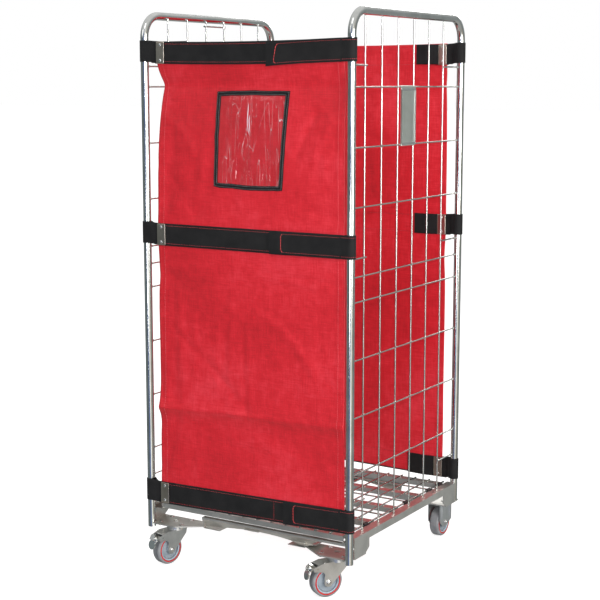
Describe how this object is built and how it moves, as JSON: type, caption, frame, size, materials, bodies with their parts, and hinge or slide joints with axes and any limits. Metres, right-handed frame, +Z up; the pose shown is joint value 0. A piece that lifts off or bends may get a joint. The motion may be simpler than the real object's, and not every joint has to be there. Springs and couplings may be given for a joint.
{
  "type": "linen trolley",
  "caption": "Tall wire-sided linen trolley with tube frames, strapped cloth covers front and back, a hinged wire deck and casters.",
  "frame": {"origin": "on the floor under the middle of the trolley's overall box", "axes": "+X to the right seen from the front, +Y from the front cover to the rear cover, +Z up"},
  "size_m": [0.7686, 0.8467, 1.768],
  "materials": {
    "plated_tube": "bright zinc plated tube, glossy with soft streaks",
    "plated_wire": "bright zinc plated wire",
    "plated_sheet": "bright zinc plated sheet, slightly dulled",
    "caster_steel": "zinc plated pressed steel",
    "fastener_steel": "bright plated fastener",
    "clip_steel": "brushed steel clamp plate",
    "wheel_hub": "blue-grey moulded plastic",
    "wheel_tyre": "grey non-marking rubber",
    "cover_cloth": "red coated woven cloth, slight sheen",
    "webbing": "black woven webbing with red stitching",
    "clear_pvc": "clear flexible film, glossy and rippled",
    "black_plastic": "black moulded plastic"
  },
  "bodies": {
    "root": {"left_frame_tube": "plated_tube", "right_frame_tube": "plated_tube", "left_upright_wires": "plated_wire", "right_upright_wires": "plated_wire", "left_cross_wires": "plated_wire", "right_cross_wires": "plated_wire", "label_plate": "plated_sheet", "left_side_rail": "plated_sheet", "right_side_rail": "plated_sheet", "front_beam": "plated_sheet", "rear_beam": "plated_sheet", "front_left_bracket": "plated_sheet", "front_right_bracket": "plated_sheet", "rear_left_bracket": "plated_sheet", "rear_right_bracket": "plated_sheet", "caster_bolts": "fastener_steel", "front_left_top_plate": "caster_steel", "front_right_top_plate": "caster_steel", "front_left_kingpin": "fastener_steel", "front_right_kingpin": "fastener_steel", "rear_left_fork": "caster_steel", "rear_right_fork": "caster_steel", "rear_axles": "fastener_steel", "front_cover": "cover_cloth", "rear_cover": "cover_cloth", "front_straps": "webbing", "rear_straps": "webbing", "post_loops": "webbing", "strap_wraps": "webbing", "clip_plates": "clip_steel", "clip_rivets": "fastener_steel", "pocket_binding": "webbing", "pocket_window": "clear_pvc", "deck_hinge_clips": "black_plastic"},
    "deck": {"deck_bars": "plated_sheet", "deck_cross_wires": "plated_wire", "deck_long_wires": "plated_wire", "deck_hinge_rod": "plated_wire"},
    "front_left_swivel": {"front_left_fork": "caster_steel", "front_left_axle": "fastener_steel"},
    "front_left_wheel": {"front_left_hub": "wheel_hub", "front_left_tyre": "wheel_tyre"},
    "front_left_brake": {"front_left_pedal": "caster_steel"},
    "front_right_swivel": {"front_right_fork": "caster_steel", "front_right_axle": "fastener_steel"},
    "front_right_wheel": {"front_right_hub": "wheel_hub", "front_right_tyre": "wheel_tyre"},
    "front_right_brake": {"front_right_pedal": "caster_steel"},
    "rear_left_wheel": {"rear_left_hub": "wheel_hub", "rear_left_tyre": "wheel_tyre"},
    "rear_right_wheel": {"rear_right_hub": "wheel_hub", "rear_right_tyre": "wheel_tyre"},
    "front_top_tail_end": {"front_top_tail": "webbing"},
    "front_middle_tail_end": {"front_middle_tail": "webbing"},
    "front_bottom_tail_end": {"front_bottom_tail": "webbing"},
    "rear_top_tail_end": {"rear_top_tail": "webbing"},
    "rear_middle_tail_end": {"rear_middle_tail": "webbing"},
    "rear_bottom_tail_end": {"rear_bottom_tail": "webbing"}
  },
  "joints": [
    {"name": "deck_fold", "type": "hinge", "parent": "root", "child": "deck", "pos_m": [0.34, 0.0054, 0.1975], "axis": [0, 1, 0], "range_deg": [0, 88]},
    {"name": "front_left_swivel_turn", "type": "hinge", "parent": "root", "child": "front_left_swivel", "pos_m": [-0.303, -0.3166, 0.112], "axis": [0, 0, 1], "continuous": true},
    {"name": "front_left_wheel_spin", "type": "hinge", "parent": "front_left_swivel", "child": "front_left_wheel", "pos_m": [-0.31268, -0.35541, 0.05], "axis": [0.9703, -0.2419, 0], "continuous": true},
    {"name": "front_left_brake_press", "type": "hinge", "parent": "front_left_swivel", "child": "front_left_brake", "pos_m": [-0.32139, -0.39034, 0.096], "axis": [0.9703, -0.2419, 0], "range_deg": [0, 12]},
    {"name": "front_right_swivel_turn", "type": "hinge", "parent": "root", "child": "front_right_swivel", "pos_m": [0.303, -0.3166, 0.112], "axis": [0, 0, 1], "continuous": true},
    {"name": "front_right_wheel_spin", "type": "hinge", "parent": "front_right_swivel", "child": "front_right_wheel", "pos_m": [0.28063, -0.34976, 0.05], "axis": [0.829, -0.5592, 0], "continuous": true},
    {"name": "front_right_brake_press", "type": "hinge", "parent": "front_right_swivel", "child": "front_right_brake", "pos_m": [0.2605, -0.37961, 0.096], "axis": [0.829, -0.5592, 0], "range_deg": [0, 12]},
    {"name": "rear_left_wheel_spin", "type": "hinge", "parent": "root", "child": "rear_left_wheel", "pos_m": [-0.318, 0.3714, 0.05], "axis": [1, 0, 0], "continuous": true},
    {"name": "rear_right_wheel_spin", "type": "hinge", "parent": "root", "child": "rear_right_wheel", "pos_m": [0.318, 0.3714, 0.05], "axis": [1, 0, 0], "continuous": true},
    {"name": "front_top_tail_peel", "type": "hinge", "parent": "root", "child": "front_top_tail_end", "pos_m": [0.338, -0.37245, 1.641], "axis": [0, 0, 1], "range_deg": [0, 110]},
    {"name": "front_middle_tail_peel", "type": "hinge", "parent": "root", "child": "front_middle_tail_end", "pos_m": [0.338, -0.37245, 1.078], "axis": [0, 0, 1], "range_deg": [0, 110]},
    {"name": "front_bottom_tail_peel", "type": "hinge", "parent": "root", "child": "front_bottom_tail_end", "pos_m": [0.338, -0.37245, 0.245], "axis": [0, 0, 1], "range_deg": [0, 110]},
    {"name": "rear_top_tail_peel", "type": "hinge", "parent": "root", "child": "rear_top_tail_end", "pos_m": [-0.338, 0.38325, 1.641], "axis": [0, 0, 1], "range_deg": [0, 110]},
    {"name": "rear_middle_tail_peel", "type": "hinge", "parent": "root", "child": "rear_middle_tail_end", "pos_m": [-0.338, 0.38325, 1.078], "axis": [0, 0, 1], "range_deg": [0, 110]},
    {"name": "rear_bottom_tail_peel", "type": "hinge", "parent": "root", "child": "rear_bottom_tail_end", "pos_m": [-0.338, 0.38325, 0.245], "axis": [0, 0, 1], "range_deg": [0, 110]}
  ]
}
